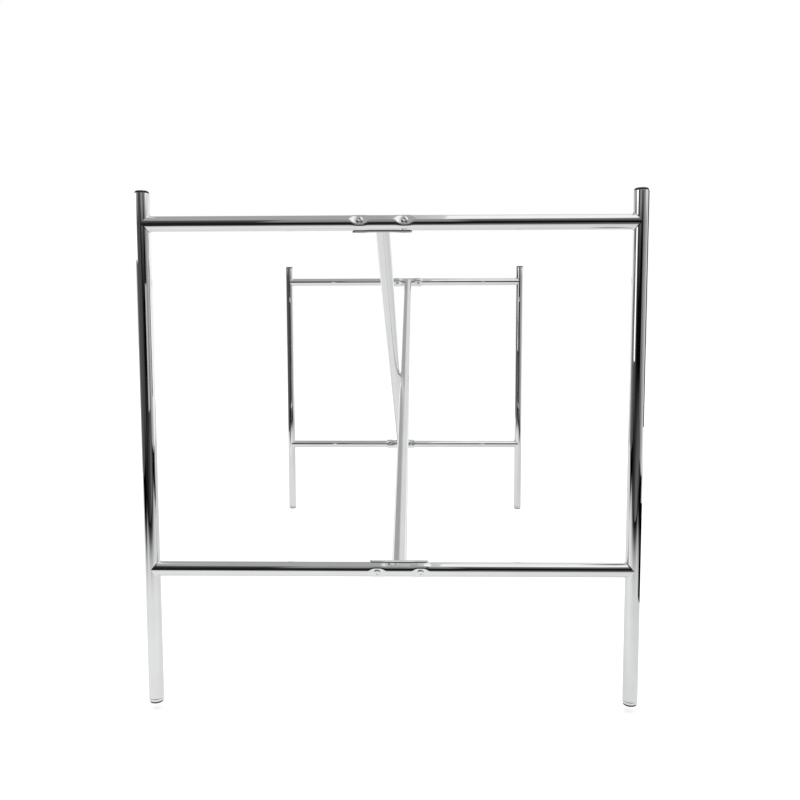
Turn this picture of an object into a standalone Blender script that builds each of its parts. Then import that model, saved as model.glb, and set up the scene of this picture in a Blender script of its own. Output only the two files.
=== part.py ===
"""Knock-down table frame of chromed round tube.

Two identical end frames, each of two legs and two rails, are tied together by two crossed
brace tubes.  Each brace tube ends in a half-round saddle that is screwed through a rail.
The legs end in plastic pads at the top and in levelling feet at the floor.
The origin is on the floor at the centre of the footprint: X across, Y along, Z up.
"""

import math

import bmesh
import bpy
from mathutils import Vector

# ---- driving dimensions, in metres -------------------------------------------------
TUBE_RADIUS = 0.010
TUBE_WALL = 0.0015
LEG_SPACING = 0.656          # leg axis to leg axis, across an end frame
FRAME_SPACING = 1.216        # end frame to end frame, axis to axis
HEIGHT = 0.698               # floor to the top of the pads, feet screwed fully in
LOW_RAIL_Z = 0.189
HIGH_RAIL_Z = 0.655
GAP = 0.0003                 # clearance between pieces that touch

SADDLE_THICKNESS = 0.002
SADDLE_LENGTH = 0.079
SADDLE_HALF_ANGLE = math.radians(76)
SADDLE_CORNER_ANGLE = math.radians(62)
SADDLE_CORNER_DEPTH = 0.0025
SCREW_SPACING = 0.059
BRACE_OFFSET = 0.0105        # each brace axis stands this far from the middle plane
WELD_RADIUS = 0.006
WELD_HALF_LENGTH = 0.0014

PRESS_OUTER = 0.0022         # how deep the rail is pressed flat under a sleeve nut
PRESS_INNER = 0.0015         # how deep rail and saddle are pressed under a screw head
PRESS_HALF_LENGTH = 0.010
PRESS_ROUNDING = 0.0012
PRESS_BULGE = 0.05

NUT_HEAD_RADIUS = 0.005
NUT_HEAD_HEIGHT = 0.0022
NUT_BARREL_RADIUS = 0.003
SCREW_SHANK_RADIUS = 0.002
SCREW_HEAD_RADIUS = 0.0042
SCREW_HEAD_HEIGHT = 0.0022
HEAD_RIM = 0.0005            # upright rim of a nut's or screw's head, below its dome
SCREW_TIP_DEPTH = 0.005      # how far short of the rail's outer skin a screw ends
SCREW_HOLE_CLEARANCE = 0.0004

PAD_LIP_RADIUS = 0.0093
PAD_LIP_HEIGHT = 0.003
PAD_PLUG_DEPTH = 0.015

GLIDE_RADIUS = 0.009
GLIDE_FLANGE_TOP = 0.0022
GLIDE_TOP = 0.0040
GLIDE_STEP = 0.0009          # how far the glide's shoulder stands inside its flange
POCKET_CLEARANCE = 0.0004
CUP_RADIUS = 0.0098
CUP_TOP = 0.0065
CUP_WALL = 0.0013
CUP_PLATE = 0.002
CUP_HOLE_CLEARANCE = 0.0005
STUD_RADIUS = 0.0039
STUD_HEAD_RADIUS = 0.0050
STUD_HEAD_HEIGHT = 0.0023
STUD_TOP = 0.034
INSERT_HEIGHT = 0.020

LEG_SEGMENTS = 24
RAIL_SEGMENTS = 20
TURNED_SEGMENTS = 16
SMALL_SEGMENTS = 12
SADDLE_STEPS = 8
STATION_MARGIN = 0.001       # least distance from a saddle's cut corner to the next ring
CENTRE_FLAT = 0.3            # share of a radius left flat where a turned profile ends
SMOOTH_ANGLE = math.radians(40)

# ---- derived dimensions ------------------------------------------------------------
BORE_RADIUS = TUBE_RADIUS - TUBE_WALL
LEG_BOTTOM = CUP_TOP + GAP
LEG_TOP = HEIGHT - PAD_LIP_HEIGHT - GAP
SADDLE_INNER = TUBE_RADIUS + GAP
SADDLE_OUTER = SADDLE_INNER + SADDLE_THICKNESS
BRACE_RISE = HIGH_RAIL_Z - LOW_RAIL_Z
BRACE_LENGTH = math.hypot(FRAME_SPACING, BRACE_RISE)
BRACE_SLOPE = math.atan2(BRACE_RISE, FRAME_SPACING)
CROSSING_Z = (HIGH_RAIL_Z + LOW_RAIL_Z) / 2
PRESS_STATIONS = (-0.014, -0.009, -0.0055, 0.0, 0.0055, 0.009, 0.014)

# ---- colours: base colour, roughness, metallic --------------------------------------
CHROME = ((0.82, 0.83, 0.84, 1.0), 0.08, 1.0)
STEEL = ((0.55, 0.56, 0.58, 1.0), 0.30, 1.0)
BLACK_PLASTIC = ((0.02, 0.02, 0.022, 1.0), 0.55, 0.0)


def clear_scene():
    for obj in list(bpy.data.objects):
        bpy.data.objects.remove(obj, do_unlink=True)


def material(name, look):
    colour, roughness, metallic = look
    mat = bpy.data.materials.new(name)
    mat.use_nodes = True
    shader = mat.node_tree.nodes["Principled BSDF"]
    shader.inputs["Base Color"].default_value = colour
    shader.inputs["Roughness"].default_value = roughness
    shader.inputs["Metallic"].default_value = metallic
    return mat


def add_object(name, bm, look, location=(0, 0, 0), tilt=0.0, cutter=False):
    """Turn a bmesh into a named object, placed at location and tilted about X."""
    bmesh.ops.recalc_face_normals(bm, faces=bm.faces)
    mesh = bpy.data.meshes.new(name)
    bm.to_mesh(mesh)
    bm.free()
    mesh.shade_smooth()
    mesh.set_sharp_from_angle(angle=SMOOTH_ANGLE)
    obj = bpy.data.objects.new(name, mesh)
    obj.location = location
    obj.rotation_euler = (tilt, 0.0, 0.0)
    bpy.context.collection.objects.link(obj)
    if cutter:
        obj.hide_render = True
        obj.display_type = "WIRE"
    else:
        mesh.materials.append(material(name, look))
    return obj


def cut(target, cutter):
    modifier = target.modifiers.new("cut_" + cutter.name, "BOOLEAN")
    modifier.operation = "DIFFERENCE"
    modifier.solver = "EXACT"
    modifier.object = cutter


def grid_faces(bm, rows, closed_rows, closed_columns):
    """Skin a grid of vertices: rows of equal length, joined to their neighbours."""
    count = len(rows)
    width = len(rows[0])
    for i in range(count if closed_rows else count - 1):
        here = rows[i]
        there = rows[(i + 1) % count]
        for j in range(width if closed_columns else width - 1):
            k = (j + 1) % width
            bm.faces.new((here[j], here[k], there[k], there[j]))


def rings(bm, profile, segments):
    """Rings of vertices about Z, one for each (radius, height) of the profile."""
    rows = []
    for radius, height in profile:
        row = []
        for step in range(segments):
            angle = 2 * math.pi * step / segments
            row.append(bm.verts.new((radius * math.cos(angle), radius * math.sin(angle), height)))
        rows.append(row)
    return rows


def turned(bm, profile, segments):
    """Turn a closed profile of (radius, height) about Z; it must not touch the axis."""
    grid_faces(bm, rings(bm, profile, segments), closed_rows=True, closed_columns=True)


def turned_solid(bm, profile, segments):
    """Turn an open profile of (radius, height) about Z and cap its two ends flat."""
    rows = rings(bm, profile, segments)
    grid_faces(bm, rows, closed_rows=False, closed_columns=True)
    bm.faces.new(rows[0])
    bm.faces.new(rows[-1])


def dome(radius, base, height, steps=3):
    """Profile points of a low domed head, from its rim up to a small flat centre."""
    points = []
    for step in range(steps):
        angle = math.pi / 2 * step / steps
        points.append((radius * math.cos(angle), base + height * math.sin(angle)))
    points.append((radius * CENTRE_FLAT, base + height))
    return points


# ---- the pressed seats around the screws ---------------------------------------------
def press_amount(x):
    total = 0.0
    for side in (-1, 1):
        reach = (x - side * SCREW_SPACING / 2) / PRESS_HALF_LENGTH
        total += math.exp(-reach ** 4)
    return total


def soft_min(value, limit, rounding):
    if rounding < 1e-7:
        return min(value, limit)
    overlap = max(rounding - abs(value - limit), 0.0) / rounding
    return min(value, limit) - overlap * overlap * rounding / 4


def pressed(x, y, z, radius):
    """Flatten a tube of this radius at the screws: +Z is the nut side, -Z the screw side."""
    amount = press_amount(x)
    rounding = PRESS_ROUNDING * amount
    z = soft_min(z, radius - PRESS_OUTER * amount, rounding)
    z = -soft_min(-z, radius - PRESS_INNER * amount, rounding)
    return Vector((x, y * (1 + PRESS_BULGE * amount), z))


def press_stations():
    stations = []
    for side in (-1, 1):
        for station in PRESS_STATIONS:
            stations.append(side * SCREW_SPACING / 2 + station)
    return sorted(stations)


# ---- end frames ----------------------------------------------------------------------
def add_leg(name, x, y):
    bm = bmesh.new()
    profile = (
        (TUBE_RADIUS, LEG_BOTTOM),
        (TUBE_RADIUS, LEG_TOP),
        (BORE_RADIUS, LEG_TOP),
        (BORE_RADIUS, LEG_BOTTOM),
    )
    turned(bm, profile, LEG_SEGMENTS)
    return add_object(name, bm, CHROME, (x, y, 0))


def rail_tilt(y_side, z_side):
    """Tilt about X that turns +Z outwards along the line of the brace tube."""
    return -y_side * (math.pi / 2 - z_side * BRACE_SLOPE)


def rail_row(bm, x, radius, tilt, end):
    """One ring of the rail; end is -1 or 1 for the ends that are coped round a leg."""
    row = []
    for step in range(RAIL_SEGMENTS):
        angle = 2 * math.pi * step / RAIL_SEGMENTS
        y = radius * math.cos(angle)
        z = radius * math.sin(angle)
        if end:
            across = y * math.cos(tilt) - z * math.sin(tilt)
            clear = math.sqrt((TUBE_RADIUS + GAP) ** 2 - across ** 2)
            row.append(bm.verts.new((end * (LEG_SPACING / 2 - clear), y, z)))
        else:
            row.append(bm.verts.new(pressed(x, y, z, radius)))
    return row


def add_rail(name, shift, location, tilt):
    """A coped tube along X; shift moves its two pressed seats along it."""
    bm = bmesh.new()
    rows = []
    for radius, order in ((TUBE_RADIUS, 1), (BORE_RADIUS, -1)):
        skin = [rail_row(bm, 0, radius, tilt, -1)]
        for station in press_stations():
            skin.append(rail_row(bm, station, radius, tilt, 0))
        skin.append(rail_row(bm, 0, radius, tilt, 1))
        for row in skin[1:-1]:
            for vert in row:
                vert.co.x += shift
        rows.extend(skin[::order])
    grid_faces(bm, rows, closed_rows=True, closed_columns=True)
    return add_object(name, bm, CHROME, location, tilt)


# ---- brace -----------------------------------------------------------------------------
def saddle_points(radius, stations):
    """Rows of points over the saddle's inner or outer skin, with its corners cut round."""
    rows = []
    for station in stations:
        row = []
        for step in range(SADDLE_STEPS + 1):
            angle = SADDLE_HALF_ANGLE * (2 * step / SADDLE_STEPS - 1)
            past = max(abs(angle) - SADDLE_CORNER_ANGLE, 0.0)
            past /= SADDLE_HALF_ANGLE - SADDLE_CORNER_ANGLE
            limit = SADDLE_LENGTH / 2 - SADDLE_CORNER_DEPTH * past * past
            x = station
            if abs(station) > SADDLE_LENGTH / 2 - 1e-6:
                x = math.copysign(limit, station)
            y = radius * math.sin(angle)
            z = -radius * math.cos(angle)
            row.append(pressed(x, y, z, radius))
        rows.append(row)
    return rows


def add_saddle(name, location, tilt):
    """Half-round plate over the inner side of a rail, on the end of a brace tube."""
    end = SADDLE_LENGTH / 2
    inside = [s for s in press_stations() if abs(s) < end - SADDLE_CORNER_DEPTH - STATION_MARGIN]
    stations = [-end] + inside + [end]
    bm = bmesh.new()
    skins = []
    for radius in (SADDLE_OUTER, SADDLE_INNER):
        rows = []
        for row in saddle_points(radius, stations):
            rows.append([bm.verts.new(point) for point in row])
        grid_faces(bm, rows, closed_rows=False, closed_columns=False)
        skins.append(rows)
    outer, inner = skins
    edges = [
        (outer[0], inner[0]),
        (outer[-1], inner[-1]),
        ([row[0] for row in outer], [row[0] for row in inner]),
        ([row[-1] for row in outer], [row[-1] for row in inner]),
    ]
    for outer_edge, inner_edge in edges:
        grid_faces(bm, [outer_edge, inner_edge], closed_rows=False, closed_columns=False)
    return add_object(name, bm, CHROME, location, tilt)


def add_brace_tube(name, x, tilt):
    """A straight tube between two saddles, both ends coped to the saddle's curve."""
    bm = bmesh.new()
    rows = []
    for radius, order in ((TUBE_RADIUS, 1), (BORE_RADIUS, -1)):
        for end in (-order, order):
            row = []
            for step in range(LEG_SEGMENTS):
                angle = 2 * math.pi * step / LEG_SEGMENTS
                across = radius * math.sin(angle)
                reach = math.sqrt((SADDLE_OUTER + GAP) ** 2 - across ** 2)
                height = end * (BRACE_LENGTH / 2 - reach)
                row.append(bm.verts.new((radius * math.cos(angle), across, height)))
            rows.append(row)
    grid_faces(bm, rows, closed_rows=True, closed_columns=True)
    return add_object(name, bm, CHROME, (x, 0, CROSSING_Z), tilt)


def cylinder(name, radius, half_length, location, tilt, segments):
    bm = bmesh.new()
    turned_solid(bm, ((radius, -half_length), (radius, half_length)), segments)
    return add_object(name, bm, None, location, tilt, cutter=True)


def add_cross_weld(tilts):
    """The weld between the two brace tubes where they cross side by side."""
    bm = bmesh.new()
    profile = ((WELD_RADIUS, -WELD_HALF_LENGTH), (WELD_RADIUS, WELD_HALF_LENGTH))
    turned_solid(bm, profile, TURNED_SEGMENTS)
    for vert in bm.verts:
        vert.co = Vector((vert.co.z, vert.co.y, vert.co.x))
    weld = add_object("brace_cross_weld", bm, CHROME, (0, 0, CROSSING_Z))
    for x, tilt in ((-BRACE_OFFSET, tilts[0]), (BRACE_OFFSET, tilts[1])):
        place = (x, 0, CROSSING_Z)
        radius = TUBE_RADIUS + GAP
        cut(weld, cylinder("weld_cutter", radius, 0.03, place, tilt, 2 * LEG_SEGMENTS))


# ---- screws and sleeve nuts ------------------------------------------------------------
def add_sleeve_nut(name, location, tilt):
    """A round-headed sleeve nut: its head is outside the rail, its barrel runs through it."""
    seat = TUBE_RADIUS - PRESS_OUTER + GAP
    barrel_end = -(TUBE_RADIUS - PRESS_INNER)
    bore = SCREW_SHANK_RADIUS + GAP
    bore_end = seat - 0.001
    profile = [(bore * CENTRE_FLAT, bore_end), (bore, bore_end), (bore, barrel_end)]
    profile += [(NUT_BARREL_RADIUS, barrel_end), (NUT_BARREL_RADIUS, seat)]
    profile += [(NUT_HEAD_RADIUS, seat)]
    profile += dome(NUT_HEAD_RADIUS, seat + HEAD_RIM, NUT_HEAD_HEIGHT - HEAD_RIM)
    bm = bmesh.new()
    turned_solid(bm, profile, SMALL_SEGMENTS)
    return add_object(name, bm, CHROME, location, tilt)


def add_screw(name, location, tilt):
    """A button-head screw: its head is on the saddle, its shank in the sleeve nut."""
    seat = SADDLE_OUTER - PRESS_INNER + GAP
    tip = TUBE_RADIUS - SCREW_TIP_DEPTH
    profile = [(SCREW_SHANK_RADIUS, tip), (SCREW_SHANK_RADIUS, -seat)]
    profile += [(SCREW_HEAD_RADIUS, -seat)]
    for radius, height in dome(SCREW_HEAD_RADIUS, seat + HEAD_RIM, SCREW_HEAD_HEIGHT - HEAD_RIM):
        profile.append((radius, -height))
    bm = bmesh.new()
    turned_solid(bm, profile, SMALL_SEGMENTS)
    return add_object(name, bm, STEEL, location, tilt)


def drill(rail, saddle, location, tilt):
    """A hole for a nut's barrel in the rail, and one for its screw in the saddle."""
    screw_hole = SCREW_SHANK_RADIUS + SCREW_HOLE_CLEARANCE
    for target, radius in ((rail, NUT_BARREL_RADIUS + GAP), (saddle, screw_hole)):
        cut(target, cylinder("drill", radius, 0.03, location, tilt, SMALL_SEGMENTS))


# ---- pads and feet ----------------------------------------------------------------------
def add_top_pad(name, x, y):
    plug_radius = BORE_RADIUS - GAP
    lip_bottom = HEIGHT - PAD_LIP_HEIGHT
    plug_low = lip_bottom - PAD_PLUG_DEPTH
    taper = 0.0008
    rounding = 0.001
    profile = (
        (plug_radius - taper, plug_low),
        (plug_radius, plug_low + 2 * taper),
        (plug_radius, lip_bottom),
        (PAD_LIP_RADIUS, lip_bottom),
        (PAD_LIP_RADIUS, HEIGHT - rounding),
        (PAD_LIP_RADIUS - rounding * 0.3, HEIGHT - rounding * 0.3),
        (PAD_LIP_RADIUS - rounding, HEIGHT),
    )
    bm = bmesh.new()
    turned_solid(bm, profile, TURNED_SEGMENTS)
    return add_object(name, bm, BLACK_PLASTIC, (x, y, 0))


def add_foot_insert(name, x, y):
    """Threaded plug pressed into the lower end of a leg."""
    outer = BORE_RADIUS - GAP
    bore = STUD_RADIUS + GAP
    low = LEG_BOTTOM + GAP
    high = low + INSERT_HEIGHT
    bm = bmesh.new()
    turned(bm, ((outer, low), (outer, high), (bore, high), (bore, low)), TURNED_SEGMENTS)
    return add_object(name, bm, STEEL, (x, y, 0))


def add_foot_stud(name, x, y):
    """Levelling screw with a flat head that turns in the foot."""
    head_low = GLIDE_TOP - STUD_HEAD_HEIGHT
    tip = 0.001
    profile = (
        (STUD_HEAD_RADIUS, head_low),
        (STUD_HEAD_RADIUS, GLIDE_TOP),
        (STUD_RADIUS, GLIDE_TOP),
        (STUD_RADIUS, STUD_TOP - tip),
        (STUD_RADIUS - tip, STUD_TOP),
    )
    bm = bmesh.new()
    turned_solid(bm, profile, SMALL_SEGMENTS)
    return add_object(name, bm, STEEL, (x, y, 0))


def add_foot_cup(name, x, y):
    """Chromed cap of the foot, with a central hole for the stud."""
    rim = GLIDE_FLANGE_TOP + GAP
    inner = CUP_RADIUS - CUP_WALL
    plate_low = CUP_TOP - CUP_PLATE
    hole = STUD_RADIUS + CUP_HOLE_CLEARANCE
    rounding = 0.0012
    profile = (
        (CUP_RADIUS, rim),
        (CUP_RADIUS, CUP_TOP - rounding),
        (CUP_RADIUS - rounding * 0.3, CUP_TOP - rounding * 0.3),
        (CUP_RADIUS - rounding, CUP_TOP),
        (hole, CUP_TOP),
        (hole, plate_low),
        (inner, plate_low),
        (inner, rim),
    )
    bm = bmesh.new()
    turned(bm, profile, TURNED_SEGMENTS)
    return add_object(name, bm, CHROME, (x, y, 0))


def add_foot_glide(name, x, y):
    """Plastic disc that meets the floor, with a pocket for the stud's head."""
    rounding = 0.0007
    shoulder = GLIDE_RADIUS - GLIDE_STEP
    pocket = STUD_HEAD_RADIUS + POCKET_CLEARANCE
    pocket_floor = GLIDE_TOP - STUD_HEAD_HEIGHT - GAP
    profile = (
        (GLIDE_RADIUS - rounding, 0.0),
        (GLIDE_RADIUS, rounding),
        (GLIDE_RADIUS, GLIDE_FLANGE_TOP),
        (shoulder, GLIDE_FLANGE_TOP),
        (shoulder, GLIDE_TOP),
        (pocket, GLIDE_TOP),
        (pocket, pocket_floor),
        (pocket * CENTRE_FLAT, pocket_floor),
    )
    bm = bmesh.new()
    turned_solid(bm, profile, TURNED_SEGMENTS)
    return add_object(name, bm, BLACK_PLASTIC, (x, y, 0))


# ---- the whole part ------------------------------------------------------------------------
def build_corner(name, x, y):
    add_leg(name + "_leg", x, y)
    add_top_pad(name + "_top_pad", x, y)
    add_foot_insert(name + "_foot_insert", x, y)
    add_foot_stud(name + "_foot_stud", x, y)
    add_foot_cup(name + "_foot_cup", x, y)
    add_foot_glide(name + "_foot_glide", x, y)


def build_rail_joint(name, brace_x, y, z, tilt):
    """A rail with the saddle, nuts and screws that hold one end of a brace tube."""
    rail = add_rail(name + "_rail", brace_x, (0, y, z), tilt)
    saddle = add_saddle(name + "_saddle", (brace_x, y, z), tilt)
    for side_name, x_side in (("left", -1), ("right", 1)):
        place = (brace_x + x_side * SCREW_SPACING / 2, y, z)
        drill(rail, saddle, place, tilt)
        add_sleeve_nut(name + "_" + side_name + "_sleeve_nut", place, tilt)
        add_screw(name + "_" + side_name + "_screw", place, tilt)


def build():
    clear_scene()
    for end_name, y_side in (("near", -1), ("far", 1)):
        y = y_side * FRAME_SPACING / 2
        for side_name, x_side in (("left", -1), ("right", 1)):
            build_corner(end_name + "_" + side_name, x_side * LEG_SPACING / 2, y)
        for level_name, z_side in (("top", 1), ("bottom", -1)):
            z = HIGH_RAIL_Z if z_side > 0 else LOW_RAIL_Z
            # the brace on the left runs from the near top rail to the far bottom rail
            brace_x = y_side * z_side * BRACE_OFFSET
            tilt = rail_tilt(y_side, z_side)
            build_rail_joint(end_name + "_" + level_name, brace_x, y, z, tilt)
    tilts = (-math.pi / 2 - BRACE_SLOPE, -math.pi / 2 + BRACE_SLOPE)
    add_brace_tube("brace_tube_a", -BRACE_OFFSET, tilts[0])
    add_brace_tube("brace_tube_b", BRACE_OFFSET, tilts[1])
    add_cross_weld(tilts)


build()
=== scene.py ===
"""The looks of the knock-down table frame: fine chromed tubes, saddles, screws, pads and feet."""
import math

import bmesh
import bpy
from mathutils import Matrix, Vector


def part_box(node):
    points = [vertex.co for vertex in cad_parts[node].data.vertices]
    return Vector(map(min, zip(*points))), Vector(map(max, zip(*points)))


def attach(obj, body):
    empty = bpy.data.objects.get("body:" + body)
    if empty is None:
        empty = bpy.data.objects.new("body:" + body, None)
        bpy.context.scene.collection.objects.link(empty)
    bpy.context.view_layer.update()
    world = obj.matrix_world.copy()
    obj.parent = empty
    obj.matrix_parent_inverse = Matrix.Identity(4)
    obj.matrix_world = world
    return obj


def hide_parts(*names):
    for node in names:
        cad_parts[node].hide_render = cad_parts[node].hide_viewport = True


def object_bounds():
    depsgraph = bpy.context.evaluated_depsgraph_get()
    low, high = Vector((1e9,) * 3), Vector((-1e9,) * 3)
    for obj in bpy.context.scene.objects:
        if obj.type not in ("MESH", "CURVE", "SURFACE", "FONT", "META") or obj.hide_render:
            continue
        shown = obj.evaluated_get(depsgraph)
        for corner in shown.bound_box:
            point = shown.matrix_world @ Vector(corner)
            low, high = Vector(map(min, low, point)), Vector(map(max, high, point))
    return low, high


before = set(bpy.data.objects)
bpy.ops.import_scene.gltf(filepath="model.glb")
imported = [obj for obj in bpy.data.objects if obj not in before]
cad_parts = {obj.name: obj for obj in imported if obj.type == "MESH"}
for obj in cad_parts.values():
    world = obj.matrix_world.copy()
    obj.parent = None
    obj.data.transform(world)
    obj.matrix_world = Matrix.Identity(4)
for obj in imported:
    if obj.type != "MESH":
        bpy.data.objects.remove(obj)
cad_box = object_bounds()

ROOT = "frame"
ENDS = (("near", -1), ("far", 1))
SIDES = (("left", -1), ("right", 1))
LEVELS = (("top", 1), ("bottom", -1))


# ---- places and sizes, read from the frame -------------------------------------------
def middle(node):
    low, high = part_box(node)
    return (low + high) / 2


def extent(node):
    low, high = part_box(node)
    return high - low


LEG_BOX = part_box("near_right_leg")
TUBE_RADIUS = extent("near_right_leg").x / 2
TUBE_WALL = 0.0015
BORE_RADIUS = TUBE_RADIUS - TUBE_WALL
GAP = 0.0003                 # clearance between neighbouring pieces
LEG_X = middle("near_right_leg").x
LEG_Y = middle("far_right_leg").y
LEG_BOTTOM = LEG_BOX[0].z
LEG_TOP = LEG_BOX[1].z
HIGH_RAIL_Z = middle("near_top_rail").z
LOW_RAIL_Z = middle("near_bottom_rail").z
BRACE_OFFSET = middle("brace_tube_b").x
BRACE_RISE = HIGH_RAIL_Z - LOW_RAIL_Z
BRACE_SLOPE = math.atan2(BRACE_RISE, 2 * LEG_Y)
BRACE_LENGTH = math.hypot(BRACE_RISE, 2 * LEG_Y)
CROSSING_Z = (HIGH_RAIL_Z + LOW_RAIL_Z) / 2
SADDLE_LENGTH = extent("near_top_saddle").x
SADDLE_THICKNESS = 0.002
SADDLE_INNER = TUBE_RADIUS + GAP
SADDLE_OUTER = SADDLE_INNER + SADDLE_THICKNESS
SADDLE_HALF_ANGLE = math.radians(76)
SADDLE_CORNER_ANGLE = math.radians(62)
SADDLE_CORNER_DEPTH = 0.0025
SCREW_REACH = (middle("near_top_right_screw").x - middle("near_top_left_screw").x) / 2
PAD_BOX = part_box("near_right_top_pad")
PAD_RADIUS = (PAD_BOX[1].x - PAD_BOX[0].x) / 2
CUP_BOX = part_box("near_right_foot_cup")
CUP_RADIUS = (CUP_BOX[1].x - CUP_BOX[0].x) / 2
GLIDE_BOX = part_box("near_right_foot_glide")
GLIDE_RADIUS = (GLIDE_BOX[1].x - GLIDE_BOX[0].x) / 2
STUD_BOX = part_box("near_right_foot_stud")
STUD_HEAD_RADIUS = (STUD_BOX[1].x - STUD_BOX[0].x) / 2

LEG_EDGE = 0.0003            # rounding of a leg's ends
LEG_RINGS = 16
PLAIN_RINGS = 8              # rings of the unpressed part of a rail
BRACE_RINGS = 24
BRACE_END_CLEAR = 0.03
SADDLE_COLUMNS = 56
SADDLE_STEP = 0.0010
SADDLE_BEVEL = 0.00012

# the flats pressed into rail and saddle for the screws
PRESS_OUTER = 0.0022         # depth on the nut side
PRESS_INNER = 0.0015         # depth on the screw side
PRESS_HALF_LENGTH = 0.010
PRESS_ROUNDING = 0.0012
PRESS_BULGE = 0.05           # share by which the tube grows wider there
PRESS_RUN_OUT = 0.020        # rail length with fine rings past each screw
PRESS_STEP = 0.0009

NUT_HEAD_RADIUS = 0.0049
NUT_HEAD_HEIGHT = 0.0019
NUT_SOCKET = (0.0017, 0.0009)        # radius and depth of the hexagon
SLEEVE_RADIUS = 0.003
SLEEVE_BORE = 0.0023
SCREW_HEAD_RADIUS = 0.0042
SCREW_HEAD_HEIGHT = 0.0022
SCREW_SOCKET = (0.0014, 0.0010)
SCREW_SHANK = ((0.002, -0.0046), (0.0016, -0.005))   # radius and height at the tip
HEAD_FOOT_SHARE = 0.96       # a head's radius where it sits, to that of its rim
HEAD_RIM_SHARE = 0.28        # straight part of a screw head's height
HEAD_EDGE = 0.0002
DOME_STEPS = 10

STUD_RADIUS = 0.0039
STUD_FACETS = 32
THREAD_PITCH = 0.00125
THREAD_DEPTH = 0.00055
THREAD_RINGS = 8             # rings in one pitch
THREAD_SLOPE = 1.15          # above 1 the crests are flat
CUP_ROOF = 0.002
CUP_WALL = 0.0013
PAD_FLAT_RADIUS = 0.0072

ROUND = 96                   # facets round a tube
TURNED = 64                  # facets round a small turned piece
FILLET_STEPS = 7
LEG_WELD = 0.0022
BRACE_WELD = 0.0012
WELD_SEAM = 0.00025          # least reach of a rail's weld, where the tubes meet side on
LEG_WELD_ROOT = 0.0006       # how far a weld runs on into the metal, out of sight
BRACE_WELD_ROOT = 0.0005
SMOOTH_ANGLE = math.radians(35)
BEVEL_ANGLE = math.radians(50)


# ---- node materials --------------------------------------------------------------------
def new_material(name):
    mat = bpy.data.materials.new(name)
    mat.use_nodes = True
    return mat, mat.node_tree.nodes, mat.node_tree.links


def noise(nodes, links, scale, detail, stretch=(1.0, 1.0, 1.0)):
    """Noise on object coordinates, stretched along the axes; returns its factor socket."""
    place = nodes.new("ShaderNodeTexCoord")
    mapping = nodes.new("ShaderNodeMapping")
    mapping.inputs["Scale"].default_value = stretch
    texture = nodes.new("ShaderNodeTexNoise")
    texture.inputs["Scale"].default_value = scale
    texture.inputs["Detail"].default_value = detail
    links.new(place.outputs["Object"], mapping.inputs["Vector"])
    links.new(mapping.outputs["Vector"], texture.inputs["Vector"])
    return texture.outputs["Fac"]


def remap(nodes, links, socket, low, high, start=0.3, stop=0.7):
    """Spread a value from start..stop to low..high."""
    node = nodes.new("ShaderNodeMapRange")
    node.inputs["From Min"].default_value = start
    node.inputs["From Max"].default_value = stop
    node.inputs["To Min"].default_value = low
    node.inputs["To Max"].default_value = high
    links.new(socket, node.inputs["Value"])
    return node.outputs["Result"]


def ramp(nodes, links, socket, stops):
    node = nodes.new("ShaderNodeValToRGB")
    elements = node.color_ramp.elements
    while len(elements) < len(stops):
        elements.new(0.5)
    for element, (position, colour) in zip(elements, stops):
        element.position = position
        element.color = (*colour, 1.0)
    links.new(socket, node.inputs["Fac"])
    return node.outputs["Color"]


def bump(nodes, links, socket, strength, distance):
    node = nodes.new("ShaderNodeBump")
    node.inputs["Strength"].default_value = strength
    node.inputs["Distance"].default_value = distance
    links.new(socket, node.inputs["Height"])
    return node.outputs["Normal"]


def chrome(name, along, colour=(0.90, 0.905, 0.915), roughness=(0.015, 0.05)):
    """Chrome plate over a polished tube; along squeezes the polishing marks along the tube."""
    mat, nodes, links = new_material(name)
    shader = nodes["Principled BSDF"]
    shader.inputs["Metallic"].default_value = 1.0
    cloud = noise(nodes, links, 18.0, 3.0)
    darker = tuple(channel * 0.965 for channel in colour)
    tints = ((0.35, darker), (0.65, colour))
    links.new(ramp(nodes, links, cloud, tints), shader.inputs["Base Color"])
    marks = noise(nodes, links, 900.0, 2.0, along)
    links.new(remap(nodes, links, marks, *roughness), shader.inputs["Roughness"])
    peel = noise(nodes, links, 55.0, 1.0, along)
    links.new(bump(nodes, links, peel, 0.06, 0.0004), shader.inputs["Normal"])
    return mat


def steel(name):
    """Zinc-plated steel of screws, studs and inserts."""
    mat, nodes, links = new_material(name)
    shader = nodes["Principled BSDF"]
    shader.inputs["Metallic"].default_value = 1.0
    spangle = noise(nodes, links, 420.0, 4.0)
    tints = ((0.30, (0.50, 0.51, 0.52)), (0.72, (0.66, 0.67, 0.68)))
    links.new(ramp(nodes, links, spangle, tints), shader.inputs["Base Color"])
    links.new(remap(nodes, links, spangle, 0.18, 0.38), shader.inputs["Roughness"])
    links.new(bump(nodes, links, spangle, 0.15, 0.0001), shader.inputs["Normal"])
    return mat


def plastic(name):
    """Black moulded plastic: a fine spark-eroded grain, greyer where it has rubbed."""
    mat, nodes, links = new_material(name)
    shader = nodes["Principled BSDF"]
    shader.inputs["Specular IOR Level"].default_value = 0.45
    grain = noise(nodes, links, 2600.0, 3.0)
    wear = noise(nodes, links, 160.0, 4.0)
    tints = ((0.40, (0.010, 0.010, 0.011)), (0.80, (0.030, 0.030, 0.032)))
    links.new(ramp(nodes, links, wear, tints), shader.inputs["Base Color"])
    links.new(remap(nodes, links, wear, 0.42, 0.60), shader.inputs["Roughness"])
    links.new(bump(nodes, links, grain, 0.35, 0.00005), shader.inputs["Normal"])
    return mat


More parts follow.
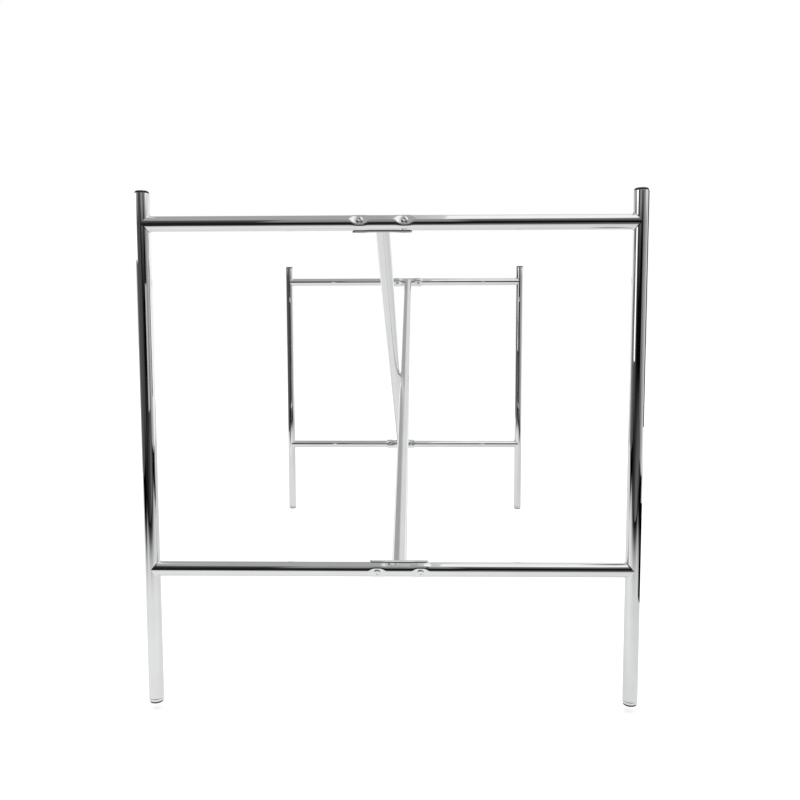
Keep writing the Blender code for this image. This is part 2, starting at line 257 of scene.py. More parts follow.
# a finish pairs a material with the name of a slot
CHROME_X = (chrome("chrome_along_x", (0.08, 1.0, 1.0)), "chrome_tube")
CHROME_Y = (chrome("chrome_along_y", (1.0, 0.08, 1.0)), "chrome_tube")
CHROME_Z = (chrome("chrome_along_z", (1.0, 1.0, 0.08)), "chrome_tube")
STEEL = (steel("zinc_steel"), "zinc_steel")
PLASTIC = (plastic("black_plastic"), "black_plastic")


# ---- mesh helpers ------------------------------------------------------------------------
def add_piece(name, bm, finish, body, node, place, bevel=0.0):
    """Turn a bmesh into a smooth piece that rides on a body and stands for a CAD node."""
    mat, slot = finish
    bmesh.ops.recalc_face_normals(bm, faces=bm.faces)
    mesh = bpy.data.meshes.new(name)
    bm.to_mesh(mesh)
    bm.free()
    mesh.transform(place)
    mesh.shade_smooth()
    mesh.set_sharp_from_angle(angle=SMOOTH_ANGLE)
    mesh.materials.append(mat)
    obj = bpy.data.objects.new(name, mesh)
    bpy.context.collection.objects.link(obj)
    if bevel:
        modifier = obj.modifiers.new("soft_edges", "BEVEL")
        modifier.width = bevel
        modifier.segments = 3
        modifier.limit_method = "ANGLE"
        modifier.angle_limit = BEVEL_ANGLE
        modifier.harden_normals = True
    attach(obj, body)
    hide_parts(node)


def grid_faces(bm, rows, closed_rows=False, closed_columns=True):
    """Join neighbouring rows of vertices with four-sided faces."""
    count = len(rows)
    width = len(rows[0])
    for i in range(count if closed_rows else count - 1):
        here = rows[i]
        there = rows[(i + 1) % count]
        for j in range(width if closed_columns else width - 1):
            k = (j + 1) % width
            bm.faces.new((here[j], here[k], there[k], there[j]))


def ring(bm, points):
    """New vertices at the points, in their order."""
    return [bm.verts.new(point) for point in points]


def circle(radius, height, count):
    points = []
    for step in range(count):
        angle = 2 * math.pi * step / count
        points.append(Vector((radius * math.cos(angle), radius * math.sin(angle), height)))
    return points


def ring_at(bm, radius, height):
    """A round ring of a small turned piece."""
    return ring(bm, circle(radius, height, TURNED))


def close_ends(bm, rows):
    bm.faces.new(rows[0])
    bm.faces.new(rows[-1])


def turned(profile, count=TURNED, closed=True):
    """Turn a profile of (radius, height) about Z; an open profile gets flat end faces."""
    bm = bmesh.new()
    rows = [ring(bm, circle(radius, height, count)) for radius, height in profile]
    grid_faces(bm, rows, closed_rows=closed)
    if not closed:
        close_ends(bm, rows)
    return bm


def tube_about_x(x):
    """Points round the tube at a place along X."""
    return [Vector((x, point.x, point.y)) for point in circle(TUBE_RADIUS, 0, ROUND)]


def skin(rows):
    """A closed skin through rings of points, with flat ends."""
    bm = bmesh.new()
    verts = [ring(bm, row) for row in rows]
    grid_faces(bm, verts)
    close_ends(bm, verts)
    return bm


def standing(x, y):
    """Where a piece turned about Z stands."""
    return Matrix.Translation((x, y, 0))


def lying(x, y, z, tilt):
    """Where a piece lies that is turned by tilt about X."""
    return Matrix.Translation((x, y, z)) @ Matrix.Rotation(tilt, 4, "X")


def arc(centre, radius, start, stop, steps):
    """Profile points on an arc in the (radius, height) plane, angles in degrees."""
    points = []
    for step in range(steps + 1):
        angle = math.radians(start + (stop - start) * step / steps)
        across = centre[0] + radius * math.cos(angle)
        points.append((across, centre[1] + radius * math.sin(angle)))
    return points


def fillet(start, corner, end, share):
    """A point on the curved weld surface between start and end, pulled towards corner."""
    keep = 1 - share
    return start * keep * keep + corner * 2 * share * keep + end * share * share


# ---- the pressed seats around the screws -----------------------------------------------
def press_amount(x):
    """How far the tube is pressed at a place along it: 1 at the two screws, 0 away from them."""
    total = 0.0
    for side in (-1, 1):
        total += math.exp(-((x - side * SCREW_REACH) / PRESS_HALF_LENGTH) ** 4)
    return total


def soft_min(value, limit, rounding):
    """The smaller of two lengths, with a rounded corner between them."""
    if rounding < 1e-7:
        return min(value, limit)
    overlap = max(rounding - abs(value - limit), 0.0) / rounding
    return min(value, limit) - overlap * overlap * rounding / 4


def pressed(x, y, z, radius):
    """Flatten a tube of this radius at the screws: +Z is the nut side, -Z the screw side."""
    amount = press_amount(x)
    rounding = PRESS_ROUNDING * amount
    z = soft_min(z, radius - PRESS_OUTER * amount, rounding)
    z = -soft_min(-z, radius - PRESS_INNER * amount, rounding)
    return Vector((x, y * (1 + PRESS_BULGE * amount), z))


def fine_stations(reach, step):
    """Evenly spaced places along a tube, from -reach to reach."""
    count = int(round(2 * reach / step))
    return [-reach + 2 * reach * i / count for i in range(count + 1)]


# ---- legs, rails, saddles and brace ------------------------------------------------------
def make_leg(name, x, y):
    profile = [(BORE_RADIUS, LEG_BOTTOM), (TUBE_RADIUS - LEG_EDGE, LEG_BOTTOM)]
    profile += arc((TUBE_RADIUS - LEG_EDGE, LEG_BOTTOM + LEG_EDGE), LEG_EDGE, -90, 0, 4)[1:]
    for step in range(1, LEG_RINGS):
        profile.append((TUBE_RADIUS, LEG_BOTTOM + (LEG_TOP - LEG_BOTTOM) * step / LEG_RINGS))
    profile += arc((TUBE_RADIUS - LEG_EDGE, LEG_TOP - LEG_EDGE), LEG_EDGE, 0, 90, 4)
    profile += [(BORE_RADIUS, LEG_TOP)]
    add_piece(name + "_tube", turned(profile, ROUND), CHROME_Z, ROOT, name, standing(x, y))


def rail_tilt(y_side, z_side):
    """Turn of a rail about its axis, so that its screws point along the brace tube."""
    return -y_side * (math.pi / 2 - z_side * BRACE_SLOPE)


def rail_end_rows(tilt, end):
    """Rings of the weld that joins a rail's end to its leg, from the rail to the leg."""
    rows = [[] for _ in range(FILLET_STEPS + 2)]
    up = Vector((0, math.sin(tilt), math.cos(tilt)))
    for step in range(ROUND):
        angle = 2 * math.pi * step / ROUND
        y = TUBE_RADIUS * math.cos(angle)
        z = TUBE_RADIUS * math.sin(angle)
        across = y * math.cos(tilt) - z * math.sin(tilt)
        height = y * math.sin(tilt) + z * math.cos(tilt)
        clear = math.sqrt(max(TUBE_RADIUS ** 2 - across ** 2, 0.0))
        reach = LEG_WELD * abs(height) / TUBE_RADIUS + WELD_SEAM
        corner = Vector((end * (LEG_X - clear), y, z))
        start = corner - Vector((end * reach, 0, 0))
        finish = corner + up * math.copysign(reach, height)
        for share in range(FILLET_STEPS + 1):
            rows[share].append(fillet(start, corner, finish, share / FILLET_STEPS))
        rows[-1].append(finish + Vector((end * LEG_WELD_ROOT, 0, 0)))
    return rows


def plain_rings(rows, start, stop):
    """Add rings of plain tube between two places along X, without the last one."""
    for step in range(1, PLAIN_RINGS):
        rows.append(tube_about_x(start + (stop - start) * step / PLAIN_RINGS))


def make_rail(name, shift, y, z, tilt):
    rows = rail_end_rows(tilt, -1)[::-1]
    right_rows = rail_end_rows(tilt, 1)
    left = max(point.x for point in rows[-1])
    right = min(point.x for point in right_rows[0])
    pressed_reach = SCREW_REACH + PRESS_RUN_OUT
    plain_rings(rows, left, shift - pressed_reach)
    for x in fine_stations(pressed_reach, PRESS_STEP):
        row = []
        for point in tube_about_x(x):
            row.append(pressed(x, point.y, point.z, TUBE_RADIUS) + Vector((shift, 0, 0)))
        rows.append(row)
    plain_rings(rows, shift + pressed_reach, right)
    rows += right_rows
    place = lying(0, y, z, tilt)
    add_piece(name + "_rail_tube", skin(rows), CHROME_X, ROOT, name + "_rail", place)


def saddle_skin(bm, radius):
    """One side of the saddle plate, with its four corners rounded off."""
    rows = []
    for x in fine_stations(SADDLE_LENGTH / 2, SADDLE_STEP):
        row = []
        for step in range(SADDLE_COLUMNS + 1):
            angle = SADDLE_HALF_ANGLE * (2 * step / SADDLE_COLUMNS - 1)
            past = max(abs(angle) - SADDLE_CORNER_ANGLE, 0.0)
            past /= SADDLE_HALF_ANGLE - SADDLE_CORNER_ANGLE
            limit = SADDLE_LENGTH / 2 - SADDLE_CORNER_DEPTH * past * past
            near = x * limit / (SADDLE_LENGTH / 2)
            across = radius * math.sin(angle)
            row.append(pressed(near, across, -radius * math.cos(angle), radius))
        rows.append(ring(bm, row))
    grid_faces(bm, rows, closed_columns=False)
    return rows


def make_saddle(name, x, y, z, tilt):
    bm = bmesh.new()
    outer = saddle_skin(bm, SADDLE_OUTER)
    inner = saddle_skin(bm, SADDLE_INNER)
    edges = [(outer[0], inner[0]), (outer[-1], inner[-1])]
    for column in (0, -1):
        edges.append(([row[column] for row in outer], [row[column] for row in inner]))
    for edge in edges:
        grid_faces(bm, edge, closed_columns=False)
    node = name + "_saddle"
    place = lying(x, y, z, tilt)
    add_piece(node + "_plate", bm, CHROME_X, ROOT, node, place, SADDLE_BEVEL)


def brace_end_rows(end):
    """Rings of the weld between a brace tube and its saddle, from the tube to the saddle."""
    rows = [[] for _ in range(FILLET_STEPS + 2)]
    for step in range(ROUND):
        angle = 2 * math.pi * step / ROUND
        along_x = TUBE_RADIUS * math.cos(angle)
        across = TUBE_RADIUS * math.sin(angle)
        grow = 1 + BRACE_WELD / TUBE_RADIUS
        reach = math.sqrt(SADDLE_OUTER ** 2 - across ** 2)
        far_reach = math.sqrt(SADDLE_OUTER ** 2 - (across * grow) ** 2)
        corner = Vector((along_x, across, end * (BRACE_LENGTH / 2 - reach)))
        start = corner - Vector((0, 0, end * BRACE_WELD))
        finish = Vector((along_x * grow, across * grow, end * (BRACE_LENGTH / 2 - far_reach)))
        for share in range(FILLET_STEPS + 1):
            rows[share].append(fillet(start, corner, finish, share / FILLET_STEPS))
        rows[-1].append(finish + Vector((0, 0, end * BRACE_WELD_ROOT)))
    return rows


def make_brace(name, x, tilt):
    rows = brace_end_rows(-1)[::-1]
    reach = BRACE_LENGTH / 2 - BRACE_END_CLEAR
    for step in range(BRACE_RINGS + 1):
        rows.append(circle(TUBE_RADIUS, reach * (2 * step / BRACE_RINGS - 1), ROUND))
    rows += brace_end_rows(1)
    add_piece(name + "_skin", skin(rows), CHROME_Y, ROOT, name, lying(x, 0, CROSSING_Z, tilt))


def make_cross_weld():
    """The weld that fills the notch between the brace tubes: a waisted ring of metal."""
    waist, flare, half_width, steps = 0.0052, 0.0016, 0.0019, 10
    rows = []
    for step in range(steps + 1):
        share = 2 * step / steps - 1
        row = []
        for point in circle(waist + flare * share * share, 0, TURNED):
            row.append(Vector((share * half_width, point.x, point.y)))
        rows.append(row)
    place = lying(0, 0, CROSSING_Z, 0)
    add_piece("brace_weld", skin(rows), CHROME_Y, ROOT, "brace_cross_weld", place)


# ---- screws --------------------------------------------------------------------------------
def hexagon(radius, height):
    """Points round a hexagon, as many as round a turned piece."""
    points = []
    for step in range(TURNED):
        angle = 2 * math.pi * step / TURNED
        past = (angle + math.pi / 6) % (math.pi / 3) - math.pi / 6
        r = radius * math.cos(math.pi / 6) / math.cos(past)
        points.append(Vector((r * math.cos(angle), r * math.sin(angle), height)))
    return points


def socket_head(bm, radius, seat, height, socket_size):
    """A low domed head with a hexagon socket, seated at the given height."""
    socket, depth = socket_size
    top = seat + height
    rim = height * HEAD_RIM_SHARE
    inside = socket + 2 * HEAD_EDGE
    rows = [ring_at(bm, radius * HEAD_FOOT_SHARE, seat)]
    rows.append(ring_at(bm, radius, seat + HEAD_EDGE))
    rows.append(ring_at(bm, radius, seat + rim))
    for step in range(1, DOME_STEPS):
        angle = math.pi / 2 * step / DOME_STEPS
        across = inside + (radius - inside) * math.cos(angle)
        rows.append(ring_at(bm, across, seat + rim + (height - rim) * math.sin(angle)))
    rows.append(ring_at(bm, socket + HEAD_EDGE, top))
    rows.append(ring(bm, hexagon(socket, top - HEAD_EDGE / 2)))
    rows.append(ring(bm, hexagon(socket, top - depth)))
    rows.append(ring_at(bm, HEAD_EDGE * 2, top - depth - HEAD_EDGE))
    grid_faces(bm, rows)
    bm.faces.new(rows[-1])
    return rows[0]


def shank(bm, head_foot, profile):
    """Carry on from the foot of a head through a profile of (radius, height)."""
    rows = [head_foot]
    for radius, height in profile:
        rows.append(ring_at(bm, radius, height))
    grid_faces(bm, rows)
    bm.faces.new(rows[-1])


def make_nut(name, place):
    bm = bmesh.new()
    seat = TUBE_RADIUS - PRESS_OUTER + GAP / 2
    end = -(TUBE_RADIUS - PRESS_INNER)
    foot = socket_head(bm, NUT_HEAD_RADIUS, seat, NUT_HEAD_HEIGHT, NUT_SOCKET)
    profile = ((SLEEVE_RADIUS, seat), (SLEEVE_RADIUS, end), (SLEEVE_BORE, end))
    shank(bm, foot, (*profile, (SLEEVE_BORE, seat - 0.001)))
    node = name + "_sleeve_nut"
    add_piece(node + "_fine", bm, CHROME_X, ROOT, node, place)


def make_screw(name, place):
    bm = bmesh.new()
    seat = SADDLE_OUTER - PRESS_INNER + GAP / 2
    foot = socket_head(bm, SCREW_HEAD_RADIUS, seat, SCREW_HEAD_HEIGHT, SCREW_SOCKET)
    shank(bm, foot, ((SCREW_SHANK[0][0], seat), *SCREW_SHANK))
    node = name + "_screw"
    turned_over = place @ Matrix.Rotation(math.pi, 4, "X")
    add_piece(node + "_fine", bm, STEEL, ROOT, node, turned_over)


# ---- pads and feet --------------------------------------------------------------------------
def make_pad(name, x, y):
    """A plug with a low dome whose rounded edge stands over the end of the leg."""
    low, high = PAD_BOX[0].z, PAD_BOX[1].z
    lip = LEG_TOP + GAP
    plug = BORE_RADIUS - GAP
    edge = 0.0007
    profile = [(plug - 0.0010, low), (plug, low + 0.0020), (plug, lip)]
    profile += [(PAD_RADIUS - 0.0006, lip), (PAD_RADIUS - 0.0002, lip + 0.0002)]
    profile += arc((PAD_RADIUS - edge, lip + 0.0012), edge, 0, 50, 5)
    start, steps = profile[-1], 8
    for step in range(1, steps + 1):
        share = step / steps
        rise = math.sin(share * math.pi / 2)
        across = start[0] + (PAD_FLAT_RADIUS - start[0]) * share
        profile.append((across, start[1] + (high - start[1]) * rise))
    profile += [(0.0030, high), (0.0026, high - 0.0003), (0.0004, high - 0.0004)]
    node = name + "_top_pad"
    bm = turned(profile, closed=False)
    add_piece(node + "_fine", bm, PLASTIC, ROOT, node, standing(x, y))


def make_insert(name, x, y):
    """The threaded plug in the foot of a leg."""
    low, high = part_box(name + "_foot_insert")
    outer = BORE_RADIUS - 0.0001
    bore = STUD_RADIUS + GAP
    edge = 0.0004
    profile = [(STUD_RADIUS + 0.0005, low.z), (outer - edge, low.z), (outer, low.z + edge)]
    profile += [(outer, high.z), (bore, high.z), (bore, low.z + edge)]
    node = name + "_foot_insert"
    add_piece(node + "_fine", turned(profile), STEEL, ROOT, node, standing(x, y))


def thread_ring(height):
    """Points round a rolled thread at one height."""
    points = []
    for step in range(STUD_FACETS):
        turn = step / STUD_FACETS
        phase = (height / THREAD_PITCH - turn) % 1.0
        crest = 1 - abs(2 * phase - 1)
        radius = STUD_RADIUS - THREAD_DEPTH * (1 - min(1.0, crest * THREAD_SLOPE))
        angle = 2 * math.pi * turn
        points.append(Vector((radius * math.cos(angle), radius * math.sin(angle), height)))
    return points


def make_stud(name, x, y):
    """Levelling stud with a rolled thread above its flat head."""
    low, high = STUD_BOX[0].z, STUD_BOX[1].z
    head_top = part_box(name + "_foot_glide")[1].z
    edge = 0.0002
    rows = [circle(STUD_HEAD_RADIUS - edge, low, STUD_FACETS)]
    rows.append(circle(STUD_HEAD_RADIUS, low + edge, STUD_FACETS))
    rows.append(circle(STUD_HEAD_RADIUS, head_top, STUD_FACETS))
    rows.append(circle(STUD_RADIUS - THREAD_DEPTH, head_top, STUD_FACETS))
    thread_low, thread_high = head_top + 0.0006, high - 0.0012
    count = int((thread_high - thread_low) / (THREAD_PITCH / THREAD_RINGS))
    for step in range(count + 1):
        rows.append(thread_ring(thread_low + (thread_high - thread_low) * step / count))
    rows.append(circle(STUD_RADIUS - 0.0012, high, STUD_FACETS))
    node = name + "_foot_stud"
    add_piece(node + "_thread", skin(rows), STEEL, name + "_stud", node, standing(x, y))


def make_cup(name, x, y):
    """The chromed cap that turns on the stud, open below."""
    low, high = CUP_BOX[0].z, CUP_BOX[1].z
    inner = CUP_RADIUS - CUP_WALL
    roof = high - CUP_ROOF
    hole = STUD_RADIUS + 0.0005
    edge = 0.0010
    profile = [(CUP_RADIUS - 0.0005, low), (CUP_RADIUS - 0.0001, low + 0.0006)]
    profile += [(CUP_RADIUS, low + 0.0015)]
    profile += arc((CUP_RADIUS - edge, high - edge), edge, 0, 90, 6)
    profile += [(hole + 0.0002, high), (hole, high - 0.0002), (hole, roof)]
    profile += [(inner, roof), (inner, low)]
    node = name + "_foot_cup"
    add_piece(node + "_fine", turned(profile), CHROME_Z, name + "_foot", node, standing(x, y))


def make_glide(name, x, y):
    """The plastic sole that snaps into the cup, with a pocket for the stud's head."""
    low, high = GLIDE_BOX[0].z, GLIDE_BOX[1].z
    flange = CUP_BOX[0].z - GAP
    edge = 0.0009
    neck = GLIDE_RADIUS - 0.0009
    pocket = STUD_HEAD_RADIUS + 0.0004
    pocket_floor = low + 0.0014
    profile = [(0.0004, low + 0.0002), (0.0034, low + 0.0002), (0.0040, low)]
    profile += arc((GLIDE_RADIUS - edge, low + edge), edge, -90, 0, 6)
    profile += [(GLIDE_RADIUS, flange - 0.0002), (GLIDE_RADIUS - 0.0002, flange)]
    profile += [(neck, flange), (neck, high)]
    profile += [(pocket, high), (pocket, pocket_floor), (0.0004, pocket_floor)]
    node = name + "_foot_glide"
    bm = turned(profile, closed=False)
    add_piece(node + "_fine", bm, PLASTIC, name + "_foot", node, standing(x, y))


# ---- the whole object -------------------------------------------------------------------------
def make_corner(name, x, y):
    make_leg(name + "_leg", x, y)
    make_pad(name, x, y)
    make_insert(name, x, y)
    make_stud(name, x, y)
    make_cup(name, x, y)
    make_glide(name, x, y)


def make_rail_joint(name, x, y, z, tilt):
    make_rail(name, x, y, z, tilt)
    make_saddle(name, x, y, z, tilt)
    for side_name, side in SIDES:
        place = lying(x + side * SCREW_REACH, y, z, tilt)
        make_nut(name + "_" + side_name, place)
        make_screw(name + "_" + side_name, place)


for end_name, y_side in ENDS:
    for side_name, x_side in SIDES:
        make_corner(end_name + "_" + side_name, x_side * LEG_X, y_side * LEG_Y)
    for level_name, z_side in LEVELS:
        rail_z = HIGH_RAIL_Z if z_side > 0 else LOW_RAIL_Z
        brace_x = y_side * z_side * BRACE_OFFSET
        tilt = rail_tilt(y_side, z_side)
        make_rail_joint(end_name + "_" + level_name, brace_x, y_side * LEG_Y, rail_z, tilt)
make_brace("brace_tube_a", -BRACE_OFFSET, -math.pi / 2 - BRACE_SLOPE)
make_brace("brace_tube_b", BRACE_OFFSET, -math.pi / 2 + BRACE_SLOPE)
make_cross_weld()


# ---- studio --------------------------------------------------------------------------------------
GAMMA = 2.2                  # display brightness to light
FOOT_TRAVEL = 0.010          # the floor lies where the feet reach when screwed right out
FLOOR_Z = cad_box[0].z - FOOT_TRAVEL
BACK_HEIGHT = 1.9
BACK_HALF_WIDTH = 1.7
ZONE_BLEND = 0.06
# display brightness by height on the card behind the camera, from each x to the right
BACK_ZONES = (
    (-9.0, ((0.0, 0.08), (0.14, 0.14), (0.26, 0.27), (0.60, 0.29), (1.5, 0.32), (1.9, 0.60))),
    (-0.75, ((0.0, 0.18), (0.14, 0.14), (0.77, 0.14), (1.1, 0.28), (1.5, 0.32), (1.9, 0.60))),
    (-0.41, ((0.0, 0.28), (0.2, 0.22), (0.44, 0.03), (0.6, 0.06), (0.75, 0.28),
             (1.0, 0.55), (1.9, 0.6))),
    (0.13, ((0.0, 0.42), (0.14, 0.38), (0.40, 0.06), (0.74, 0.07), (1.05, 0.33),
            (1.45, 0.46), (1.9, 0.48))),
    (0.80, ((0.0, 0.30), (0.3, 0.40), (0.6, 0.50), (1.1, 0.52), (1.9, 0.55))),
)
# display brightness of the floor by distance from a line FLOOR_SHIFT inside the frame
FLOOR_SHIFT = 0.3
FLOOR_LEVELS = (
    (0.0, 0.89), (0.30, 0.90), (0.42, 0.93), (0.75, 0.90), (0.92, 0.84),
    (1.08, 0.68), (1.25, 0.35), (1.4, 0.08), (1.6, 0.02),
)
CAMERA_PLACE = Vector((0.0342, -LEG_Y - 1.0531, 0.5111))
CAMERA_PITCH = -0.0853       # radians, down
CAMERA_YAW = 0.0207          # radians, to the left
CAMERA_ROLL = 0.0025
CAMERA_LENS = 35.47          # mm, on a sensor 36 mm wide
BACK_Y = CAMERA_PLACE.y - 0.06
EDGE_REACH = 0.15            # from the near right leg to the small cards behind it
LIGHT_FACTOR = 4.0           # power of a strip light per area and radiance


def make_camera():
    data = bpy.data.cameras.new("camera")
    data.lens = CAMERA_LENS
    data.sensor_width = 36.0
    data.clip_start = 0.01
    data.clip_end = 60.0
    camera = bpy.data.objects.new("camera", data)
    turn = Matrix.Rotation(CAMERA_YAW, 4, "Z") @ Matrix.Rotation(CAMERA_PITCH, 4, "X")
    turn = turn @ Matrix.Rotation(CAMERA_ROLL, 4, "Y") @ Matrix.Rotation(math.pi / 2, 4, "X")
    camera.matrix_world = Matrix.Translation(CAMERA_PLACE) @ turn
    bpy.context.collection.objects.link(camera)
    bpy.context.scene.camera = camera


def clear_behind(nodes, links, surface):
    """Make a card clear when it is met from behind."""
    side = nodes.new("ShaderNodeNewGeometry")
    clear = nodes.new("ShaderNodeBsdfTransparent")
    mix = nodes.new("ShaderNodeMixShader")
    links.new(side.outputs["Backfacing"], mix.inputs["Fac"])
    links.new(surface, mix.inputs[1])
    links.new(clear.outputs["BSDF"], mix.inputs[2])
    return mix.outputs["Shader"]


def emission_card(name, corners, build_colour, one_sided=False):
    """A flat card of light or dark round the object, seen only in reflections."""
    mesh = bpy.data.meshes.new(name)
    mesh.from_pydata(corners, [], [(0, 1, 2, 3)])
    obj = bpy.data.objects.new(name, mesh)
    bpy.context.collection.objects.link(obj)
    mat, nodes, links = new_material(name)
    nodes.remove(nodes["Principled BSDF"])
    glow = nodes.new("ShaderNodeEmission")
    build_colour(nodes, links, glow)
    surface = glow.outputs["Emission"]
    if one_sided:
        surface = clear_behind(nodes, links, surface)
    links.new(surface, nodes["Material Output"].inputs["Surface"])
    mesh.materials.append(mat)
    obj.visible_camera = False
    obj.visible_diffuse = False
    obj.visible_shadow = False
    obj.visible_transmission = False


def grey(value):
    return (value, value, value)


def upright(left, right, y, bottom, top):
    return [(left, y, bottom), (right, y, bottom), (right, y, top), (left, y, top)]


def level(left, right, front, back, z):
    return [(left, front, z), (right, front, z), (right, back, z), (left, back, z)]


def beside_right_leg(start, stop, bottom, top):
    """Corners of a small card behind the near right leg, between two directions in degrees."""
    ends = []
    for angle in (math.radians(start), math.radians(stop)):
        x = LEG_X + EDGE_REACH * math.sin(angle)
        ends.append((x, -LEG_Y + EDGE_REACH * math.cos(angle)))
    corners = [(*end, bottom) for end in ends]
    return corners + [(*end, top) for end in reversed(ends)]


def strip_light(name, place, target, size, radiance, receivers):
    """A soft rectangular light that only the named pieces catch."""
    data = bpy.data.lights.new(name, "AREA")
    data.shape = "RECTANGLE"
    data.size, data.size_y = size
    data.energy = radiance * size[0] * size[1] * LIGHT_FACTOR
    obj = bpy.data.objects.new(name, data)
    obj.location = place
    direction = Vector(target) - Vector(place)
    obj.rotation_euler = direction.to_track_quat("-Z", "Y").to_euler()
    obj.visible_camera = False
    bpy.context.collection.objects.link(obj)
    caught = bpy.data.collections.new(name + "_receivers")
    for receiver in receivers:
        caught.objects.link(receiver)
    obj.light_linking.receiver_collection = caught


def axis_value(nodes, links, output, axis):
    """One component of a vector that the surface's geometry gives."""
    place = nodes.new("ShaderNodeNewGeometry")
    split = nodes.new("ShaderNodeSeparateXYZ")
    links.new(place.outputs[output], split.inputs["Vector"])
    return split.outputs[axis]


def soft_step(nodes, links, socket, start, stop):
    """0 below start, 1 above stop."""
    return remap(nodes, links, socket, 0.0, 1.0, start, stop)


def calculate(nodes, links, operation, *values):
    """One math node on numbers or sockets."""
    node = nodes.new("ShaderNodeMath")
    node.operation = operation
    for socket, value in zip(node.inputs, values):
        if isinstance(value, (int, float)):
            socket.default_value = value
        else:
            links.new(value, socket)
    return node.outputs["Value"]


def blend(nodes, links, factor, first, second):
    """Mix two greys or colour sockets; greys are given as display brightness."""
    node = nodes.new("ShaderNodeMix")
    node.data_type = "RGBA"
    links.new(factor, node.inputs["Factor"])
    for socket, value in ((node.inputs[6], first), (node.inputs[7], second)):
        if isinstance(value, float):
            socket.default_value = (*grey(value ** GAMMA), 1.0)
        else:
            links.new(value, socket)
    return node.outputs[2]


def brightness_ramp(nodes, links, socket, top, levels):
    """Colour by a length in metres: pairs of length and display brightness."""
    share = remap(nodes, links, socket, 0.0, 1.0, 0.0, top)
    stops = [(length / top, grey(value ** GAMMA)) for length, value in levels]
    return ramp(nodes, links, share, stops)


def back_card_colour(nodes, links, glow):
    """Behind the camera: dark on the left, a dark belt in the middle, lighter to the right."""
    x = axis_value(nodes, links, "Position", "X")
    z = axis_value(nodes, links, "Position", "Z")
    colour = None
    for start, levels in BACK_ZONES:
        zone = brightness_ramp(nodes, links, z, BACK_HEIGHT, levels)
        if colour is None:
            colour = zone
        else:
            inside = soft_step(nodes, links, x, start, start + ZONE_BLEND)
            colour = blend(nodes, links, inside, colour, zone)
    links.new(colour, glow.inputs["Color"])


def floor_card_colour(nodes, links, glow):
    """Bright paper under the frame that falls off to a dark floor in front and at the sides."""
    x = axis_value(nodes, links, "Position", "X")
    y = axis_value(nodes, links, "Position", "Y")
    front = calculate(nodes, links, "SUBTRACT", -LEG_Y, y)
    behind = calculate(nodes, links, "MINIMUM", front, 0.0)
    inward = calculate(nodes, links, "MULTIPLY", behind, 2.0)
    from_middle = calculate(nodes, links, "ABSOLUTE", x)
    side = calculate(nodes, links, "SUBTRACT", from_middle, FLOOR_SHIFT)
    side = calculate(nodes, links, "ADD", side, inward)
    distance = calculate(nodes, links, "MAXIMUM", side, front)
    distance = calculate(nodes, links, "ADD", distance, FLOOR_SHIFT)
    paper = brightness_ramp(nodes, links, distance, FLOOR_LEVELS[-1][0], FLOOR_LEVELS)
    right = soft_step(nodes, links, x, 0.0, 0.5)
    shade = blend(nodes, links, right, 1.0, 0.94)
    both = nodes.new("ShaderNodeMix")
    both.data_type = "RGBA"
    both.blend_type = "MULTIPLY"
    both.inputs["Factor"].default_value = 1.0
    links.new(paper, both.inputs[6])
    links.new(shade, both.inputs[7])
    links.new(both.outputs[2], glow.inputs["Color"])


def plain_colour(value):
    """A card of one display brightness."""
    def build(nodes, links, glow):
        glow.inputs["Color"].default_value = (*grey(value ** GAMMA), 1.0)
    return build


def make_floor():
    half = 30.0
    mesh = bpy.data.meshes.new("floor")
    mesh.from_pydata(level(-half, half, -half, half, FLOOR_Z), [], [(0, 1, 2, 3)])
    obj = bpy.data.objects.new("floor", mesh)
    bpy.context.collection.objects.link(obj)
    mat, nodes, links = new_material("pale_floor")
    shader = nodes["Principled BSDF"]
    tone = noise(nodes, links, 3.0, 2.0)
    tints = ((0.3, grey(0.84)), (0.7, grey(0.87)))
    links.new(ramp(nodes, links, tone, tints), shader.inputs["Base Color"])
    shader.inputs["Roughness"].default_value = 0.9
    shader.inputs["Emission Color"].default_value = (1, 1, 1, 1)
    shader.inputs["Emission Strength"].default_value = 0.35
    mesh.materials.append(mat)
    obj.visible_glossy = False


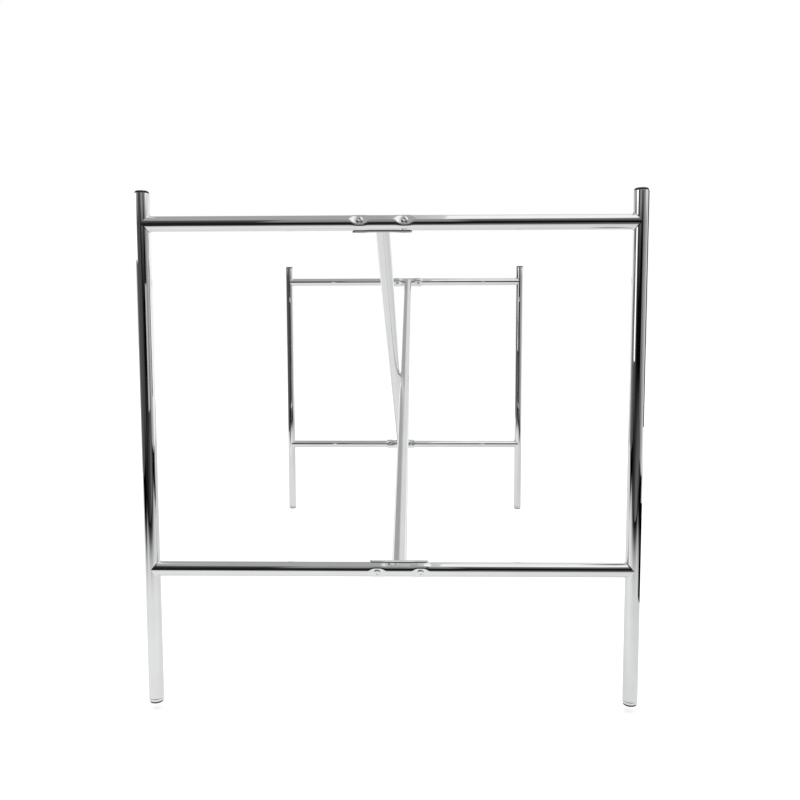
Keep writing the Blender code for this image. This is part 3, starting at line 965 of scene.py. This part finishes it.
def make_world():
    """White to the eye and to soft light; a graded room to whatever mirrors it."""
    world = bpy.data.worlds.new("studio")
    bpy.context.scene.world = world
    world.use_nodes = True
    nodes, links = world.node_tree.nodes, world.node_tree.links
    nodes.clear()
    out = nodes.new("ShaderNodeOutputWorld")
    place = nodes.new("ShaderNodeTexCoord")
    split = nodes.new("ShaderNodeSeparateXYZ")
    links.new(place.outputs["Generated"], split.inputs["Vector"])
    x, y, z = (split.outputs[axis] for axis in "XYZ")
    forward = soft_step(nodes, links, y, 0.40, 0.75)
    half_forward = soft_step(nodes, links, y, 0.0, 0.25)
    left_wall = blend(nodes, links, half_forward, 0.32, 0.50)
    left_wall = blend(nodes, links, forward, left_wall, 1.0)
    right_wall = blend(nodes, links, soft_step(nodes, links, y, -0.25, 0.40), 0.64, 1.0)
    wall = blend(nodes, links, soft_step(nodes, links, x, -0.2, 0.3), left_wall, right_wall)
    ceiling = blend(nodes, links, soft_step(nodes, links, x, -0.04, 0.06), 0.66, 0.88)
    above = blend(nodes, links, soft_step(nodes, links, z, 0.14, 0.30), wall, ceiling)
    low = blend(nodes, links, forward, 0.04, 0.92)
    room = blend(nodes, links, soft_step(nodes, links, z, -0.22, -0.16), low, above)
    seen = nodes.new("ShaderNodeBackground")
    seen.inputs["Color"].default_value = (1, 1, 1, 1)
    seen.inputs["Strength"].default_value = 1.0
    reflected = nodes.new("ShaderNodeBackground")
    links.new(room, reflected.inputs["Color"])
    rays = nodes.new("ShaderNodeLightPath")
    mix = nodes.new("ShaderNodeMixShader")
    links.new(rays.outputs["Is Glossy Ray"], mix.inputs["Fac"])
    links.new(seen.outputs["Background"], mix.inputs[1])
    links.new(reflected.outputs["Background"], mix.inputs[2])
    links.new(mix.outputs["Shader"], out.inputs["Surface"])


def make_cards():
    back = upright(-BACK_HALF_WIDTH, BACK_HALF_WIDTH, BACK_Y, 0.0, BACK_HEIGHT)
    emission_card("card_back", back, back_card_colour)
    paper = level(-2.2, 2.2, -2.0, 4.5, FLOOR_Z + 0.0002)
    emission_card("card_floor", paper, floor_card_colour)
    window = level(0.11, 2.4, -1.35, -0.20, 1.6)
    emission_card("card_ceiling", window, plain_colour(1.0))
    upper = beside_right_leg(18, 78, 0.37, 0.80)
    emission_card("card_upper_edge", upper, plain_colour(0.20), one_sided=True)
    lower = beside_right_leg(18, 104, 0.11, 0.26)
    emission_card("card_lower_edge", lower, plain_colour(0.05), one_sided=True)


def make_strips():
    """Level strip lights, each aimed at one of the near legs."""
    right_legs = [bpy.data.objects[end + "_right_leg_tube"] for end, _ in ENDS]
    left_leg = [bpy.data.objects["near_left_leg_tube"]]
    strips = (
        ("strip_right_legs", LEG_X, (-1.51, -1.51, 0.95), (1.02, 1.10), 0.95, right_legs),
        ("strip_left_edge", -LEG_X, (-1.78, -0.22, 1.19), (1.4, 0.9), 0.9, left_leg),
        ("strip_left_leg", -LEG_X, (0.22, BACK_Y, 0.47), (1.02, 0.36), 0.36, left_leg),
    )
    for name, leg_x, place, size, radiance, receivers in strips:
        strip_light(name, place, (leg_x, -LEG_Y, place[2]), size, radiance, receivers)


make_camera()
make_floor()
make_world()
make_cards()
make_strips()
bpy.context.scene.view_settings.view_transform = "Standard"
